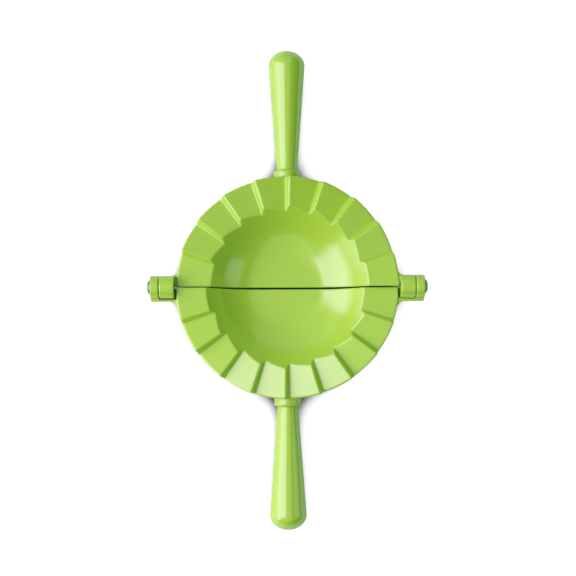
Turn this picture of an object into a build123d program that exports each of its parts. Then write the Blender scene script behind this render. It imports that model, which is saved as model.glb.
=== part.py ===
from build123d import *
import os
from math import acos, atan2, copysign, cos, degrees, hypot, radians, sin, tan

# Empanada press, opened flat: two moulded jaws that fold together on a hinge,
# each with half of a round bowl, a pleated pressing rim and a club handle.
#
# Frame: X along the hinge, +Y towards the rear jaw, +Z up.  The table is at z = 0
# and the hinge axis lies at (0, 0, hinge_height), in the plane where the rims meet.
# Everything is shaped about the hinge axis first and lifted to its height at the end.
# All lengths are millimetres and all angles are degrees.

# --- Bowl -----------------------------------------------------------------------
floor_radius = 14.5        # flat floor in the middle of the bowl
floor_curve = 31.0         # inner radius of the curve that leaves the floor
side_slope = 45.0          # slope of the straight side, which cuts the pleats off
side_run = 6.1             # straight side, measured across, up to the rim plane
wall = 2.4                 # thickness of bowl, rim plate and skirt
foot_radius = 19.0         # outer radius of the ring that the open press stands on
foot_width = 3.2
foot_draft = 3.0           # lean of both sides of the foot ring

# --- Pleated rim ----------------------------------------------------------------
rim_width = 17.5           # from the mouth of the bowl to the outer edge
pleats = 10                # pressing faces on one jaw
pleat_tilt = 13.5          # tilt of each pressing face about its own middle line
end_pleat_height = 1.2     # rise or drop of the level faces beside the hinge
riser_draft = 30.0         # lean of the steps between the faces
crest_round = 0.9          # rounding along the top of each step
root_round = 0.3           # rounding along the foot of each step
outer_edge_round = 0.8     # rounding of the rim's outer edge
inner_edge_round = 0.5     # rounding of the rim's inner edge
mating_gap = 0.3           # space left between the rims when the press is shut
skirt_depth = 9.0          # depth of the outer skirt below the rim plane
skirt_draft = 4.0          # lean of the skirt
parting_gap = 0.29         # from the hinge line to the end face of each jaw
parting_draft = 0.8        # lean of the end faces
parting_round = 0.25       # rounding of the edges that meet along the hinge line

# --- Hinge ----------------------------------------------------------------------
barrel_wall = 4.1          # round the pin, in both the inner and the outer barrels
barrel_round = 0.45        # rounding of the barrels' ends
inner_barrel = 7.9         # length of the rear jaw's barrels
outer_barrel = 4.6         # length of the front jaw's barrels
barrel_standoff = 0.6      # from the rim to the inner barrel
barrel_gap = 0.3           # side play between the barrels
swing_gap = 0.5            # from the inner barrel to the arm that wraps round it
arm_wall = 1.15            # thickness of the arm beside the inner barrel
arm_floor = 1.65           # thickness of the arm below the inner barrel
arm_setback = 0.1          # from the arm's end to the end of the outer barrel
arm_corner = 0.7           # rounding of the arm's free corner
root_step = 0.1            # how far the hinge roots lie below the rim's rounded edge
rim_flat = 0.6             # cut back from the front rim beside the inner barrel
web_overlap = 3.0          # how far the rear web runs under the inner barrel
front_root_round = 4.5     # rounding from the arm into the front rim
rear_root_round = 3.2      # rounding from the web into the rear rim
pin_radius = 2.0
pin_fit = 0.05             # clearance round the pin
pin_setback = 0.5          # from the pin's end to the inner end of the barrel
pin_head_lip = 1.8         # how far the head stands out round the pin
pin_head_edge = 0.5        # straight edge of the head, below its dome
pin_head_dome = 1.4

# --- Handles --------------------------------------------------------------------
neck_radius = 5.55         # where the handle meets its collar
belly_radius = 9.87        # thickest place
taper_length = 58.0        # straight run from neck to belly
dome_length = 8.2          # rounded end beyond the belly
handle_gap = 0.66          # between the two handles when the press is shut
handle_lift = 0.8          # from the table to the handles
collar_step = 1.75         # from the neck out to the side of the collar
collar_stand = 4.2         # how far the collar stands out from the rim
collar_round = 1.4         # rounding of the collar's free edge
neck_shoulder = 1.55       # step from the neck in to the tang
tang_setback = 2.5         # from the tang's end to the mouth of the bowl
tang_fit = 0.05            # clearance round the tang
tang_end_gap = 0.5         # clearance beyond the tang's end
neck_chamfer = 0.25        # small edge break that leaves a seam at the collar

# --- Sizes that follow ----------------------------------------------------------
side_rise = side_run * tan(radians(side_slope))
mouth_radius = floor_radius + floor_curve * sin(radians(side_slope)) + side_run
rim_radius = mouth_radius + rim_width
bowl_depth = floor_curve * (1 - cos(radians(side_slope))) + side_rise
half_pitch = 90.0 / pleats
pleat_rise = tan(radians(half_pitch)) * tan(radians(pleat_tilt))
rim_top = rim_radius * pleat_rise + end_pleat_height + wall
collar_radius = neck_radius + collar_step
tang_radius = neck_radius - neck_shoulder
tang_end = mouth_radius + tang_setback
handle_drop = max(belly_radius, collar_radius) + handle_gap / 2
collar_face = rim_radius + collar_stand
hinge_height = max(bowl_depth + wall, handle_drop + belly_radius) + handle_lift
barrel_radius = pin_radius + pin_fit + barrel_wall
edge_drop = mating_gap / 2 + outer_edge_round + root_step
high_root = end_pleat_height - edge_drop
low_root = -end_pleat_height - edge_drop
inner_barrel_start = rim_radius + barrel_standoff
inner_barrel_end = inner_barrel_start + inner_barrel
outer_barrel_start = inner_barrel_end + barrel_gap
outer_barrel_end = outer_barrel_start + outer_barrel
swing_radius = barrel_radius + swing_gap
arm_side = swing_radius + arm_wall
arm_depth = swing_radius + arm_floor


def bowl_curve(offset):
    """Floor and curve of the bowl as a half section, moved outward by offset."""
    floor = Line((0, -bowl_depth - offset), (floor_radius, -bowl_depth - offset))
    return floor + JernArc(floor @ 1, (1, 0), floor_curve + offset, side_slope)


def side_end(start, height):
    """Point where a straight side that leaves the curve at start reaches a height."""
    return (start.X + (height - start.Y) / tan(radians(side_slope)), height)


def turned(outline):
    """Turn a closed half section, drawn as radius and height, through the rear half."""
    return revolve(Plane.XZ * make_face(outline), Axis.Z, 180)


def rim_face_radius(height):
    """Radius of the drafted outer wall at a height."""
    return rim_radius + height * tan(radians(skirt_draft))


def pleat_section(index, reach):
    """Open space above one pressing face, as a flat section square to its middle line."""
    middle = radians((2 * index + 1) * half_pitch)
    lean = tan(radians(riser_draft)) / cos(radians(half_pitch))
    border = reach * tan(radians(half_pitch))
    slope = tan(radians(pleat_tilt))
    level = 0.0
    if index == 0:
        slope, level = 0.0, end_pleat_height
    if index == pleats - 1:
        slope, level = 0.0, -end_pleat_height
    low = (-border - level * lean) / (1 + slope * lean)
    high = (border - level * lean) / (1 + slope * lean)
    low_top = -border - rim_top * lean
    high_top = border - rim_top * lean
    if index == 0:
        low = low_top = -border - rim_top
    if index == pleats - 1:
        high = high_top = border + rim_top
    corners = [
        (low, level + slope * low),
        (high, level + slope * high),
        (high_top, rim_top),
        (low_top, rim_top),
    ]
    outward = Vector(cos(middle), sin(middle), 0)
    along = Vector(-sin(middle), cos(middle), 0)
    points = [outward * reach + along * side + Vector(0, 0, up) for side, up in corners]
    return make_face(Polyline(*points, close=True))


def step_edges(cutter, above):
    """Edges along the crests (above) or the roots of the steps between the faces."""
    found = []
    for edge in cutter.edges():
        middle = edge.center()
        bearing = degrees(atan2(middle.Y, middle.X))
        inside = half_pitch < bearing < 180 - half_pitch
        high = end_pleat_height / 2 < middle.Z < rim_top - wall / 2
        low = middle.Z < -end_pleat_height / 2
        if edge.length > rim_width and inside and (high if above else low):
            found.append(edge)
    return found


def space_above_pleats():
    """Everything above the rear jaw's pressing faces, with the steps rounded."""
    inner = 0.8 * mouth_radius
    outer = rim_radius + collar_stand
    wedges = [
        loft([pleat_section(index, inner), pleat_section(index, outer)], ruled=True)
        for index in range(pleats)
    ]
    cutter = Part() + wedges
    cutter = fillet(step_edges(cutter, True), crest_round)
    cutter = fillet(step_edges(cutter, False), root_round)
    return Pos(0, 0, -mating_gap / 2) * cutter


def edges_of_rim(block, near, far):
    """Edges round the pressing faces whose middles lie between two radii."""
    lowest = -rim_radius * pleat_rise - mating_gap
    found = []
    for edge in block.edges():
        middle = edge.center()
        between = near < hypot(middle.X, middle.Y) < far
        if between and middle.Y > parting_gap and middle.Z > lowest:
            found.append(edge)
    return found


def rim_block(cutter):
    """Solid pleated rim, from the bowl's straight side to the drafted outer wall."""
    inside = bowl_curve(0) @ 1
    outside = bowl_curve(wall) @ 1
    top = rim_top - wall
    block = turned(
        Polyline(
            (inside.X, inside.Y),
            side_end(inside, top),
            (rim_face_radius(top), top),
            (rim_face_radius(-skirt_depth), -skirt_depth),
            (outside.X, -skirt_depth),
            (outside.X, outside.Y),
            close=True,
        )
    )
    block = block - cutter
    outer_edges = edges_of_rim(block, rim_radius - wall / 2, rim_radius + wall / 2)
    block = fillet(outer_edges, outer_edge_round)
    inner_edges = edges_of_rim(block, mouth_radius - side_run / 2, mouth_radius + side_run / 2)
    return fillet(inner_edges, inner_edge_round)


def rim_hollow(cutter):
    """Space under the rim plate, between the skirt and the bowl."""
    outside = bowl_curve(wall) @ 1
    top = rim_top - wall
    below = skirt_depth + wall
    hollow = turned(
        Polyline(
            (outside.X, -below),
            (outside.X, outside.Y),
            side_end(outside, top),
            (rim_face_radius(top) - wall, top),
            (rim_face_radius(-below) - wall, -below),
            close=True,
        )
    )
    return hollow - Pos(0, 0, -wall) * cutter


def bowl_cup():
    """Curved wall and flat floor of half the bowl."""
    inside = bowl_curve(0)
    outside = bowl_curve(wall)
    mouth = Line(inside @ 1, outside @ 1)
    middle = Line(inside @ 0, outside @ 0)
    return turned(inside + mouth + outside + middle)


def bowl_cavity():
    """The hollow that holds the filling."""
    inside = bowl_curve(0)
    side = inside @ 1
    top = Polyline((side.X, side.Y), side_end(side, rim_top), (0, rim_top), (0, -bowl_depth))
    return turned(inside + top)


def foot_ring():
    """Half of the ring under the bowl that holds the open press level."""
    top = -bowl_depth - wall / 2
    lean = (top + hinge_height) * tan(radians(foot_draft))
    inner = foot_radius - foot_width
    return turned(
        Polyline(
            (inner, -hinge_height),
            (foot_radius, -hinge_height),
            (foot_radius + lean, top),
            (inner - lean, top),
            close=True,
        )
    )


def rod_y(radius, start, end):
    """Round bar along the handle's axis, between two distances from the hinge."""
    bar = Cylinder(radius, end - start, align=(Align.CENTER, Align.CENTER, Align.MIN))
    return Pos(0, start, -handle_drop) * Rot(-90, 0, 0) * bar


def rod_x(radius, start, end):
    """Round bar along the hinge axis, between two distances from the middle."""
    bar = Cylinder(radius, end - start, align=(Align.CENTER, Align.CENTER, Align.MIN))
    return Pos(start, 0, 0) * Rot(0, 90, 0) * bar


def barrel(start, end):
    """Hinge barrel with rounded ends, before its bore."""
    body = rod_x(barrel_radius, start, end)
    return fillet(body.edges().filter_by(GeomType.CIRCLE), barrel_round)


def both_sides(piece):
    """The piece and its mirror image on the other side of the jaw."""
    return [piece, mirror(piece, Plane.YZ)]


def handle_boss():
    """Collar and socket body that carries the handle, from the bowl out past the skirt."""
    boss = rod_y(collar_radius, floor_radius, collar_face)
    return fillet(boss.edges().sort_by(Axis.Y)[-1], collar_round)


def handle_socket():
    """Bore for the handle's tang."""
    return rod_y(tang_radius + tang_fit, tang_end - tang_end_gap, collar_face)


def beyond_parting():
    """Space on the far side of the jaw's drafted end face."""
    top = rim_top
    bottom = hinge_height + wall
    lean = tan(radians(parting_draft))
    outline = Polyline(
        (parting_gap - top * lean, top),
        (-rim_radius, top),
        (-rim_radius, -bottom),
        (parting_gap + bottom * lean, -bottom),
        close=True,
    )
    return extrude(Plane.YZ * make_face(outline), outer_barrel_end, both=True)


def hinge_root(side, end, depth, rounding, top):
    """Web that runs from the rim out under a barrel, seen from above and drawn down."""
    inboard = rim_radius - wall
    rim = Circle(rim_face_radius(top))
    arm = Rectangle(2 * end, 2 * side)
    keep = Pos(inboard, -wall) * Rectangle(end, rim_radius, align=(Align.MIN, Align.MIN))
    outline = (rim + arm) & keep
    inner_corner = outline.vertices().sort_by_distance((rim_radius, side))[0]
    outline = fillet(inner_corner, rounding)
    free_corner = outline.vertices().sort_by_distance((end, side))[0]
    outline = Pos(0, 0, top) * fillet(free_corner, arm_corner)
    return extrude(outline, depth + top, dir=(0, 0, -1), taper=skirt_draft)


def hinge_roots(side, end, depth, rounding):
    """Both webs of a jaw: high beside its high level face and low beside the low one."""
    high = hinge_root(side, end, depth, rounding, high_root)
    low = hinge_root(side, end, depth, rounding, low_root)
    return [high, mirror(low, Plane.YZ)]


def parting_height(side):
    """Height of the jaw's upper surface along the hinge line."""
    reach = abs(side)
    if reach > mouth_radius - side_run:
        level = copysign(end_pleat_height, side) - mating_gap / 2
        return min(level, (reach - mouth_radius) * tan(radians(side_slope)))
    run = max(reach - floor_radius, 0)
    return floor_curve - bowl_depth - (floor_curve**2 - run**2) ** 0.5


def parting_edges(shell):
    """Edges of the pressing faces and the bowl that run along the hinge line."""
    found = []
    for edge in shell.edges():
        box = edge.bounding_box()
        middle = edge.center()
        inside = max(-box.min.X, box.max.X) < rim_radius - outer_edge_round / 2
        beside = box.max.Y < 3 * parting_gap
        upper = abs(middle.Z - parting_height(middle.X)) < wall / 2
        if inside and beside and upper:
            found.append(edge)
    return found


def jaw_shell():
    """What both jaws share: half bowl, pleated rim, skirt, foot and handle boss."""
    cutter = space_above_pleats()
    shell = rim_block(cutter) + bowl_cup() - rim_hollow(cutter)
    shell = shell + (handle_boss() - bowl_cavity()) + foot_ring()
    shell = shell - handle_socket() - beyond_parting()
    return fillet(parting_edges(shell), parting_round)


def rear_jaw(shell):
    """Jaw with the inner barrels, which turn on the pins."""
    web_end = inner_barrel_start + web_overlap
    webs = hinge_roots(barrel_radius, web_end, barrel_radius, rear_root_round)
    webs = [web - beyond_parting() for web in webs]
    bore = rod_x(pin_radius + pin_fit, inner_barrel_start, inner_barrel_end)
    jaw = shell + webs + both_sides(barrel(inner_barrel_start, inner_barrel_end))
    return jaw - both_sides(bore)


def front_jaw(shell):
    """Jaw with the outer barrels, on arms that wrap round the inner ones."""
    arm_end = outer_barrel_end - arm_setback
    arms = hinge_roots(arm_side, arm_end, arm_depth, front_root_round)
    arms = [arm - beyond_parting() for arm in arms]
    swing = rod_x(swing_radius, rim_radius - rim_flat, outer_barrel_start)
    bore = rod_x(pin_radius + pin_fit, outer_barrel_start, outer_barrel_end)
    jaw = shell + arms - both_sides(swing)
    jaw = jaw + both_sides(barrel(outer_barrel_start, outer_barrel_end)) - both_sides(bore)
    return Rot(0, 0, 180) * jaw


def hinge_pin():
    """Right-hand pin: a plain shank pressed through both barrels and a domed head."""
    start = inner_barrel_start + pin_setback
    head = outer_barrel_end
    head_radius = pin_radius + pin_head_lip
    crown = (head + pin_head_edge, 0)
    dome = EllipticalCenterArc(crown, pin_head_dome, head_radius, start_angle=0, arc_size=90)
    outline = dome + Polyline(
        dome @ 1, (head, head_radius), (head, pin_radius), (start, pin_radius), (start, 0), dome @ 0
    )
    return revolve(make_face(outline), Axis.X, 360)


def handle():
    """Rear handle: tang, straight taper and rounded end, seated on its collar."""
    belly = collar_face + taper_length
    # The dome is a quarter ellipse that runs on until the straight taper touches it.
    side = neck_radius / belly_radius
    back = taper_length / dome_length
    past = degrees(atan2(back, side) - acos(1 / hypot(side, back)))
    dome = EllipticalCenterArc(
        (0, belly), dome_length, belly_radius, start_angle=0, arc_size=-90 - past, rotation=90
    )
    outline = dome + Polyline(
        dome @ 0,
        (0, tang_end),
        (tang_radius, tang_end),
        (tang_radius, collar_face),
        (neck_radius - neck_chamfer, collar_face),
        (neck_radius, collar_face + neck_chamfer),
        dome @ 1,
    )
    return Pos(0, 0, -handle_drop) * revolve(make_face(outline), Axis.Y, 360)


def assembly():
    """Every piece under its name, about the hinge axis."""
    shell = jaw_shell()
    grip = handle()
    pin = hinge_pin()
    return {
        "front_jaw": front_jaw(shell),
        "rear_jaw": rear_jaw(shell),
        "front_handle": Rot(0, 0, 180) * grip,
        "rear_handle": grip,
        "left_hinge_pin": mirror(pin, Plane.YZ),
        "right_hinge_pin": pin,
    }


os.makedirs("parts", exist_ok=True)
for name, piece in assembly().items():
    export_step(Pos(0, 0, hinge_height) * piece, f"parts/{name}.step")
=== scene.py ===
"""Looks, studio and camera of a folding empanada press with pleated rims.

Every shape is carried over from the solids. This script gives each piece its
finish and sets up the floor, the lights and the camera. All lengths are metres in
the press's own frame: X along the hinge, +Y towards the rear jaw, +Z up, with the
table at z = 0.
"""
import logging
from collections.abc import Callable
from dataclasses import dataclass, field, replace
from enum import Enum
from math import cos, pi, radians, sin

import bpy
from mathutils import Matrix, Vector

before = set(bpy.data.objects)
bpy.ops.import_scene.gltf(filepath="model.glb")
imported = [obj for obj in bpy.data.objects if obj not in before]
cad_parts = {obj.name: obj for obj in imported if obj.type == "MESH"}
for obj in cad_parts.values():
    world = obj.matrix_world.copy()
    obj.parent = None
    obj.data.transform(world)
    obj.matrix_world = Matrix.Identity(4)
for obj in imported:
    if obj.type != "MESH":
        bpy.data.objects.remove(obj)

log = logging.getLogger("empanada_press")

Colour = tuple[float, float, float]
Place = tuple[float, float, float]
Socket = bpy.types.NodeSocket
Value = Socket | float | tuple[float, ...]

MM = 0.001
HINGE_HEIGHT = 20.87 * MM
WAVE_LENGTH = pi / 10.0  # After this length a wave texture of scale 1 repeats.
WHITE: Colour = (1.0, 1.0, 1.0)


class Half(Enum):
    """The two halves of the press, by the words that begin their pieces' names."""

    FRONT = "front"
    REAR = "rear"


class Side(Enum):
    """The two ends of the hinge, by the words that begin their pins' names."""

    LEFT = "left"
    RIGHT = "right"


class Lit(Enum):
    """What a lamp reaches: everything, only matt surfaces, or only mirror images."""

    ALL = "all"
    SURFACE = "surface"
    SHINE = "shine"


# --- Shader nodes ---------------------------------------------------------------------


@dataclass(frozen=True)
class Grain:
    """A cloudy pattern.

    Attributes:
        per_metre: grains in a metre.
        detail: octaves of finer grain.
        rough: how strong each finer octave is.
    """

    per_metre: float
    detail: float
    rough: float


@dataclass(frozen=True)
class Relief:
    """A shallow relief that follows a pattern.

    Attributes:
        depth: how far the pattern stands up.
        strength: how much of it shows, from 0 to 1.
    """

    depth: float
    strength: float


class Nodes:
    """Adds and links the shader nodes of one material or world."""

    def __init__(self, tree: bpy.types.NodeTree) -> None:
        """Keeps the node tree and empties it."""
        self.tree = tree
        tree.nodes.clear()

    def put(self, socket: Socket, value: Value) -> None:
        """Links or sets one input.

        Args:
            socket: the input.
            value: another node's output, or the number or colour to set.
        """
        if isinstance(value, bpy.types.NodeSocket):
            self.tree.links.new(value, socket)
        else:
            socket.default_value = value

    def add(self, kind: str, **inputs: Value) -> bpy.types.Node:
        """Adds one node.

        Args:
            kind: the node's type name.
            inputs: what goes in, by socket name, with underscores for spaces.

        Returns:
            The new node.
        """
        node = self.tree.nodes.new(kind)
        for name, value in inputs.items():
            self.put(node.inputs[name.replace("_", " ")], value)
        return node

    def maths(self, operation: str, *values: Value) -> Socket:
        """Adds one sum.

        Args:
            operation: the sum's type name.
            values: what goes in, in order.

        Returns:
            The sum's value.
        """
        node = self.tree.nodes.new("ShaderNodeMath")
        node.operation = operation
        for socket, value in zip(node.inputs, values):
            self.put(socket, value)
        return node.outputs[0]

    def noise(self, where: Socket, grain: Grain) -> Socket:
        """Adds a cloudy pattern.

        Args:
            where: the coordinates that it reads.
            grain: the pattern's size and fineness.

        Returns:
            The pattern's value, from 0 to 1.
        """
        node = self.add(
            "ShaderNodeTexNoise",
            Vector=where,
            Scale=grain.per_metre,
            Detail=grain.detail,
            Roughness=grain.rough,
        )
        return node.outputs["Fac"]

    def bump(self, pattern: Socket, relief: Relief, below: Socket | None) -> Socket:
        """Adds a relief.

        Args:
            pattern: the pattern that stands up, from 0 to 1.
            relief: its depth and strength.
            below: the normal that it lies on, or None for the surface's own.

        Returns:
            The bent normal.
        """
        node = self.add(
            "ShaderNodeBump",
            Height=pattern,
            Distance=relief.depth,
            Strength=relief.strength,
        )
        if below is not None:
            self.put(node.inputs["Normal"], below)
        return node.outputs["Normal"]

    def mix(self, share: Socket, bare: Value, covered: Value) -> Socket:
        """Mixes two numbers, from the bare one at share 0 to the covered one at 1."""
        node = self.add("ShaderNodeMix", Factor=share, A=bare, B=covered)
        return node.outputs["Result"]

    def tint(self, share: Socket, bare: Colour, covered: Colour) -> Socket:
        """Mixes two colours.

        Args:
            share: how much of the second colour shows, from 0 to 1.
            bare: the colour where share is 0.
            covered: the colour where share is 1.

        Returns:
            The mixed colour.
        """
        node = self.add("ShaderNodeMix")
        node.data_type = "RGBA"
        self.put(node.inputs[0], share)
        self.put(node.inputs["A"], (*bare, 1.0))
        self.put(node.inputs["B"], (*covered, 1.0))
        return node.outputs["Result"]

    def span(
        self,
        value: Socket,
        low: float,
        high: float,
        start: float = 0.0,
        end: float = 1.0,
    ) -> Socket:
        """Carries a value evenly from one range into another.

        Args:
            value: the value to carry over.
            low: what start and all before it become.
            high: what end and all past it become.
            start: where the value's range begins.
            end: where the value's range ends.

        Returns:
            The value in its new range.
        """
        node = self.add(
            "ShaderNodeMapRange",
            Value=value,
            From_Min=start,
            From_Max=end,
            To_Min=low,
            To_Max=high,
        )
        return node.outputs["Result"]

    def onlookers(self) -> tuple[Socket, Socket]:
        """Adds the test of what kind of ray looks on.

        Returns:
            Two values of 0 or 1: whether it is the camera's own ray, and whether it is
            a mirrored or refracted one.
        """
        seen = self.add("ShaderNodeLightPath").outputs
        bent = (seen["Is Glossy Ray"], seen["Is Transmission Ray"])
        return seen["Is Camera Ray"], self.maths("MAXIMUM", *bent)


def new_material(name: str) -> tuple[bpy.types.Material, Nodes]:
    """Makes an empty material.

    Args:
        name: the material's name.

    Returns:
        The material and its nodes.
    """
    made = bpy.data.materials.new(name)
    made.use_nodes = True
    return made, Nodes(made.node_tree)


# --- Finishes -------------------------------------------------------------------------


@dataclass(frozen=True)
class MouldedPlastic:
    """Injection-moulded polypropylene.

    Attributes:
        name: the material's name.
        pale: the lightest colour that the flow of the melt leaves.
        deep: the darkest colour that it leaves.
        roughness_low: roughness where the skin is smoothest.
        roughness_high: roughness where it is smeared most.
        unpolished_roughness: roughness of faces left as the mould parted.
        edge_softness: radius to which sharp edges look rounded, or 0 to leave them.
        edge_samples: rays that look for such edges.
        flow: pattern of the colour.
        smear: pattern of the roughness.
        waves: pattern of the faint waves that a cooling wall gets.
        wave_relief: depth of the waves.
        fine: pattern of the fine grain.
        fine_relief: depth of the fine grain.
        ior: refractive index, which sets how strong the shine is.
        scatter: share of the light that scatters under the skin.
        scatter_depth: how deep that light goes.
        scatter_reach: how far its red, green and blue go, as shares of that depth.
    """

    name: str = "lime_polypropylene"
    pale: Colour = (0.400, 0.570, 0.052)
    deep: Colour = (0.380, 0.546, 0.044)
    roughness_low: float = 0.15
    roughness_high: float = 0.20
    unpolished_roughness: float = 0.95
    edge_softness: float = 1.2 * MM
    edge_samples: int = 6
    flow: Grain = Grain(28.0, detail=3.0, rough=0.5)
    smear: Grain = Grain(160.0, detail=4.0, rough=0.6)
    waves: Grain = Grain(70.0, detail=1.0, rough=0.3)
    wave_relief: Relief = Relief(0.05 * MM, strength=0.35)
    fine: Grain = Grain(2600.0, detail=3.0, rough=0.6)
    fine_relief: Relief = Relief(0.004 * MM, strength=0.5)
    ior: float = 1.92
    scatter: float = 0.10
    scatter_depth: float = 1.2 * MM
    scatter_reach: Colour = (0.7, 1.0, 0.3)

    def skin(self, nodes: Nodes, where: Socket) -> Socket:
        """Adds softened edges, faint waves and fine grain.

        Args:
            nodes: the tree that the nodes go into.
            where: the coordinates that the patterns read.

        Returns:
            The bent normal.
        """
        below = None
        if self.edge_softness > 0.0:
            soft = nodes.add("ShaderNodeBevel", Radius=self.edge_softness)
            soft.samples = self.edge_samples
            below = soft.outputs["Normal"]
        waved = nodes.bump(nodes.noise(where, self.waves), self.wave_relief, below)
        return nodes.bump(nodes.noise(where, self.fine), self.fine_relief, waved)

    def material(
        self, unpolished: Callable[[Nodes], Socket] | None = None
    ) -> bpy.types.Material:
        """Builds the material.

        Args:
            unpolished: adds the nodes that pick out the faces left matt, or None.

        Returns:
            The material.
        """
        made, nodes = new_material(self.name)
        where = nodes.add("ShaderNodeTexCoord").outputs["Object"]
        flow = nodes.noise(where, self.flow)
        smear = nodes.noise(where, self.smear)
        roughness = nodes.span(smear, self.roughness_low, self.roughness_high)
        if unpolished is not None:
            matt = unpolished(nodes)
            roughness = nodes.mix(matt, roughness, self.unpolished_roughness)
        shader = nodes.add(
            "ShaderNodeBsdfPrincipled",
            Base_Color=nodes.tint(flow, self.deep, self.pale),
            Roughness=roughness,
            IOR=self.ior,
            Subsurface_Weight=self.scatter,
            Subsurface_Scale=self.scatter_depth,
            Subsurface_Radius=self.scatter_reach,
            Normal=self.skin(nodes, where),
        )
        nodes.add("ShaderNodeOutputMaterial", Surface=shader.outputs["BSDF"])
        return made


@dataclass(frozen=True)
class TurnedSteel:
    """Bright steel with fine turning marks round its axis.

    Attributes:
        name: the material's name.
        colour: colour of its mirror images.
        roughness_low: roughness where it is smoothest.
        roughness_high: roughness where it is worn most.
        wear: pattern of the wear.
        ring_pitch: distance from one turning mark to the next.
        ring_wander: how far the marks stray from true circles.
        ring_detail: octaves of that straying.
        ring_relief: depth of the marks.
    """

    name: str = "turned_steel"
    colour: Colour = (0.34, 0.37, 0.31)
    roughness_low: float = 0.18
    roughness_high: float = 0.32
    wear: Grain = Grain(900.0, detail=4.0, rough=0.6)
    ring_pitch: float = 0.16 * MM
    ring_wander: float = 1.5
    ring_detail: float = 2.0
    ring_relief: Relief = Relief(0.004 * MM, strength=0.5)

    def material(self, axis: Place) -> bpy.types.Material:
        """Builds the material.

        Args:
            axis: a point of the axis, which runs along X.

        Returns:
            The material.
        """
        made, nodes = new_material(self.name)
        where = nodes.add("ShaderNodeTexCoord").outputs["Object"]
        to_axis = tuple(-value for value in axis)
        centred = nodes.add("ShaderNodeMapping", Vector=where, Location=to_axis)
        rings = nodes.add(
            "ShaderNodeTexWave",
            Vector=centred.outputs["Vector"],
            Scale=WAVE_LENGTH / self.ring_pitch,
            Distortion=self.ring_wander,
            Detail=self.ring_detail,
        )
        rings.wave_type = "RINGS"
        rings.rings_direction = "X"
        wear = nodes.noise(where, self.wear)
        shader = nodes.add(
            "ShaderNodeBsdfPrincipled",
            Base_Color=(*self.colour, 1.0),
            Metallic=1.0,
            Roughness=nodes.span(wear, self.roughness_low, self.roughness_high),
            Normal=nodes.bump(rings.outputs["Fac"], self.ring_relief, None),
        )
        nodes.add("ShaderNodeOutputMaterial", Surface=shader.outputs["BSDF"])
        return made


# --- Sub-assemblies -------------------------------------------------------------------


def dress(node: str, finish: bpy.types.Material) -> None:
    """Gives a carried-over piece its finish.

    Args:
        node: the piece's name.
        finish: the material.
    """
    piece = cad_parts[node]
    for slot in piece.material_slots:
        slot.material = finish
    log.info("dressed %s in %s", node, finish.name)


@dataclass
class Jaws:
    """The two mouldings with half a bowl, ten pleats and a collar each.

    Their end faces along the hinge line are left as they come from the mould.

    Attributes:
        plastic: finish of both mouldings.
        parting_half_width: how far from the hinge line those faces may lie.
        parting_lean: the least that their normals point along Y.
    """

    plastic: MouldedPlastic = MouldedPlastic()
    parting_half_width: float = 0.60 * MM
    parting_lean: float = 0.85

    def parting_faces(self, nodes: Nodes) -> Socket:
        """Picks out the end faces that meet along the hinge line.

        Args:
            nodes: the tree that the nodes go into.

        Returns:
            1 on those faces and 0 elsewhere.
        """
        surface = nodes.add("ShaderNodeTexCoord").outputs
        place = nodes.add("ShaderNodeSeparateXYZ", Vector=surface["Object"])
        normal = nodes.add("ShaderNodeSeparateXYZ", Vector=surface["Normal"])
        offset = nodes.maths("ABSOLUTE", place.outputs["Y"])
        lean = nodes.maths("ABSOLUTE", normal.outputs["Y"])
        near = nodes.maths("LESS_THAN", offset, self.parting_half_width)
        upright = nodes.maths("GREATER_THAN", lean, self.parting_lean)
        return nodes.maths("MULTIPLY", near, upright)

    def build(self) -> None:
        """Dresses both jaws."""
        finish = self.plastic.material(self.parting_faces)
        for half in Half:
            dress(f"{half.value}_jaw", finish)


@dataclass
class Grips:
    """The two club-shaped handles.

    Attributes:
        plastic: finish of both, a brighter skin with no sharp edge to soften.
    """

    plastic: MouldedPlastic = MouldedPlastic(
        name="lime_gloss_polypropylene",
        roughness_low=0.11,
        roughness_high=0.15,
        edge_softness=0.0,
        scatter=0.0,
    )

    def build(self) -> None:
        """Dresses both handles."""
        finish = self.plastic.material()
        for half in Half:
            dress(f"{half.value}_handle", finish)


@dataclass
class HingePins:
    """The two steel pins.

    Attributes:
        steel: finish of both, turned round the hinge's axis.
        axis_height: height of that axis above the table.
    """

    steel: TurnedSteel = TurnedSteel()
    axis_height: float = HINGE_HEIGHT

    def build(self) -> None:
        """Dresses both pins."""
        finish = self.steel.material((0.0, 0.0, self.axis_height))
        for side in Side:
            dress(f"{side.value}_hinge_pin", finish)


# --- Studio ---------------------------------------------------------------------------


@dataclass(frozen=True)
class Panel:
    """A soft rectangular lamp.

    Attributes:
        name: the lamp's name.
        place: its middle.
        aim: the point that it faces.
        width: its size across.
        height: its size the other way.
        radiance: how bright its face is.
        tint: colour of its light.
        lit: what it reaches.
    """

    name: str
    place: Place
    aim: Place
    width: float
    height: float
    radiance: float
    tint: Colour = WHITE
    lit: Lit = Lit.ALL

    def build(self) -> bpy.types.Object:
        """Adds the lamp.

        Returns:
            The lamp's object.
        """
        lamp = bpy.data.lights.new(self.name, "AREA")
        lamp.shape = "RECTANGLE"
        lamp.size = self.width
        lamp.size_y = self.height
        # A flat lamp's radiance is its power over pi times its area.
        lamp.energy = self.radiance * pi * self.width * self.height
        lamp.color = self.tint
        made = bpy.data.objects.new(self.name, lamp)
        bpy.context.scene.collection.objects.link(made)
        made.location = self.place
        toward = Vector(self.aim) - Vector(self.place)
        made.rotation_euler = toward.to_track_quat("-Z", "Y").to_euler()
        made.visible_glossy = self.lit is not Lit.SURFACE
        made.visible_diffuse = self.lit is not Lit.SHINE
        log.info("lit %s", self.name)
        return made


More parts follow.
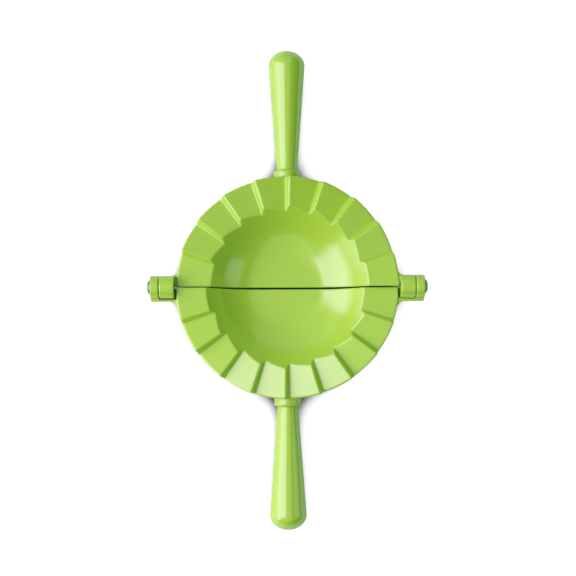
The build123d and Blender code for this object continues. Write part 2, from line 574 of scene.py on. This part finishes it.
LEFT_SOFTBOX = Panel(
    name="left_softbox",
    place=(-0.75, -0.115, 1.42),
    aim=(0.0, -0.115, 1.42),
    width=1.05,
    height=2.36,
    radiance=4.0,
    tint=(1.0, 0.93, 1.15),
    lit=Lit.SURFACE,
)
# Just in front of the other, because a ray passes only one lamp at a place.
LEFT_SOFTBOX_SHINE = replace(
    LEFT_SOFTBOX,
    name="left_softbox_shine",
    place=(-0.74, -0.115, 1.42),
    radiance=2.5,
    tint=(0.97, 0.80, 1.20),
    lit=Lit.SHINE,
)
# Closes the space between the softbox and the floor.
LEFT_SKIRT = Panel(
    name="left_skirt",
    place=(-0.75, -0.115, 0.12),
    aim=(0.0, -0.115, 0.12),
    width=1.05,
    height=0.24,
    radiance=1.5,
    tint=(1.0, 0.82, 1.0),
)
RIGHT_REFLECTOR = Panel(
    name="right_reflector",
    place=(0.85, -0.20, 0.55),
    aim=(0.0, 0.0, 0.02),
    width=0.45,
    height=0.65,
    radiance=0.80,
)
REAR_SCREEN = Panel(
    name="rear_screen",
    place=(-0.20, 0.95, 0.60),
    aim=(0.0, 0.0, 0.02),
    width=2.0,
    height=1.1,
    radiance=0.43,
)
CEILING_CLOTH = Panel(
    name="ceiling_cloth",
    place=(0.0, -0.50, 1.60),
    aim=(0.0, -0.50, 0.0),
    width=1.42,
    height=2.97,
    radiance=0.50,
    tint=(1.0, 1.0, 0.85),
)


@dataclass
class Floor:
    """The plain white floor that the press lies on.

    It shows white where nothing is near; under and beside the press a shadow is
    painted.

    Attributes:
        size: length of its sides.
        colour: paleness to the camera where it is clear.
        painted_shade_colour: paleness to the camera where the painted shadow is
            darkest.
        bounce: paleness to all other rays, which sets how much light it throws back.
        lift: glow to the camera where it is clear.
        sheen: glow in mirror images where it is clear.
        shade_reach: how far off a thing still darkens the painted shadow.
        shade_samples: rays that look for such things.
        shade_start: share of open sky up to which the shadow is painted in full.
        shade_end: share of open sky from which it is clear.
    """

    size: float = 6.0
    colour: float = 0.14
    painted_shade_colour: float = 0.05
    bounce: float = 0.70
    lift: float = 0.96
    sheen: float = 0.05
    shade_reach: float = 60.0 * MM
    shade_samples: int = 32
    shade_start: float = 0.40
    shade_end: float = 0.54

    def material(self) -> bpy.types.Material:
        """Builds the floor's material.

        Returns:
            The material.
        """
        made, nodes = new_material("white_paper")
        camera, mirrored = nodes.onlookers()
        direct = nodes.maths("MULTIPLY", camera, self.lift)
        lift = nodes.maths("MULTIPLY_ADD", mirrored, self.sheen, direct)
        # Painted shadow: the floor's colour to the camera and its glow are dimmed where
        # the press hides the open sky.
        sky = nodes.add("ShaderNodeAmbientOcclusion", Distance=self.shade_reach)
        sky.samples = self.shade_samples
        share = sky.outputs["AO"]
        clear = nodes.span(share, 0.0, 1.0, start=self.shade_start, end=self.shade_end)
        painted_shadow_paleness = nodes.span(clear, self.painted_shade_colour, self.colour)
        paleness = nodes.mix(camera, self.bounce, painted_shadow_paleness)
        matt = nodes.add("ShaderNodeBsdfDiffuse", Color=paleness)
        # The glow fades with the painted shadow too.
        strength = nodes.maths("MULTIPLY", lift, clear)
        glow = nodes.add("ShaderNodeEmission", Strength=strength)
        both = nodes.add("ShaderNodeAddShader")
        nodes.put(both.inputs[0], matt.outputs[0])
        nodes.put(both.inputs[1], glow.outputs[0])
        nodes.add("ShaderNodeOutputMaterial", Surface=both.outputs[0])
        return made

    def build(self) -> bpy.types.Object:
        """Lays the floor.

        Returns:
            The floor's object.
        """
        bpy.ops.object.select_all(action="DESELECT")
        bpy.ops.mesh.primitive_plane_add(size=self.size, location=(0.0, 0.0, 0.0))
        made = bpy.context.object
        made.name = "floor"
        made.data.materials.append(self.material())
        log.info("laid %s", made.name)
        return made


@dataclass
class Surroundings:
    """The room round the floor: dim to the surfaces, white to the camera.

    Attributes:
        ambient: light on the surfaces.
        ambient_tint: colour of that light.
        ceiling: brightness overhead, in mirror images.
        horizon: brightness at the horizon, in mirror images.
        horizon_top: height at which that has faded to the ceiling's; 1 is overhead.
        backdrop: brightness to the camera.
    """

    ambient: float = 0.27
    ambient_tint: Colour = (0.22, 1.0, 0.36)
    ceiling: float = 0.02
    horizon: float = 0.05
    horizon_top: float = 0.25
    backdrop: float = 1.0

    def build(self) -> bpy.types.World:
        """Makes the world.

        Returns:
            The world.
        """
        made = bpy.data.worlds.new("studio")
        made.use_nodes = True
        nodes = Nodes(made.node_tree)
        camera, mirrored = nodes.onlookers()
        shown = nodes.maths("MAXIMUM", camera, mirrored)
        where = nodes.add("ShaderNodeTexCoord").outputs["Generated"]
        up = nodes.add("ShaderNodeSeparateXYZ", Vector=where).outputs["Z"]
        gleam = nodes.span(up, self.horizon, self.ceiling, end=self.horizon_top)
        dim = nodes.mix(mirrored, self.ambient, gleam)
        sky = nodes.add(
            "ShaderNodeBackground",
            Color=nodes.tint(shown, self.ambient_tint, WHITE),
            Strength=nodes.mix(camera, dim, self.backdrop),
        )
        nodes.add("ShaderNodeOutputWorld", Surface=sky.outputs[0])
        bpy.context.scene.world = made
        return made


@dataclass
class Studio:
    """Floor, surroundings and soft lamps.

    Attributes:
        floor: the floor.
        surroundings: the room round it.
        panels: the lamps.
    """

    floor: Floor = field(default_factory=Floor)
    surroundings: Surroundings = field(default_factory=Surroundings)
    panels: tuple[Panel, ...] = (
        LEFT_SOFTBOX,
        LEFT_SOFTBOX_SHINE,
        LEFT_SKIRT,
        RIGHT_REFLECTOR,
        REAR_SCREEN,
        CEILING_CLOTH,
    )

    def build(self) -> None:
        """Builds floor, surroundings and lamps."""
        self.floor.build()
        self.surroundings.build()
        for panel in self.panels:
            panel.build()


@dataclass
class ViewCamera:
    """The camera, nearly straight above the middle of the hinge.

    Attributes:
        distance: from the point that it looks at, in metres.
        lean: how far it leans from straight down, in degrees.
        turn: how far it is turned about its line of sight, in degrees.
        angle: its field of view, in degrees.
        near: the nearest that it sees.
        aside: how far along X it looks past the middle of the hinge.
        ahead: how far along Y it looks past the middle of the hinge.
        hinge_height: height of the point that it looks at.
    """

    distance: float = 0.68
    lean: float = 3.49
    turn: float = -0.243
    angle: float = 25.6
    near: float = 10.0 * MM
    aside: float = 0.31 * MM
    ahead: float = -0.66 * MM
    hinge_height: float = HINGE_HEIGHT

    def build(self) -> bpy.types.Object:
        """Adds the camera and makes it the scene's own.

        Returns:
            The camera's object.
        """
        lean = radians(self.lean)
        turn = radians(self.turn)
        forward = Vector((0.0, sin(lean), -cos(lean)))
        level = Vector((1.0, 0.0, 0.0))
        upright = level.cross(forward)
        right = level * cos(turn) + upright * sin(turn)
        up = right.cross(forward)
        target = Vector((self.aside, self.ahead, self.hinge_height))
        lens = bpy.data.cameras.new("view_camera")
        lens.angle = radians(self.angle)
        lens.clip_start = self.near
        made = bpy.data.objects.new("view_camera", lens)
        bpy.context.scene.collection.objects.link(made)
        turned = Matrix((right, up, -forward)).transposed().to_4x4()
        stand = Matrix.Translation(target - forward * self.distance)
        made.matrix_world = stand @ turned
        bpy.context.scene.camera = made
        log.info("placed %s", made.name)
        return made


# --- Running --------------------------------------------------------------------------


def main() -> None:
    """Dresses the press, then builds the studio and the camera."""
    logging.basicConfig(level=logging.INFO, format="%(name)s: %(message)s")
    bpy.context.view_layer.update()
    bpy.context.scene.view_settings.view_transform = "Standard"
    Jaws().build()
    Grips().build()
    HingePins().build()
    Studio().build()
    ViewCamera().build()


if __name__ == "__main__":
    main()
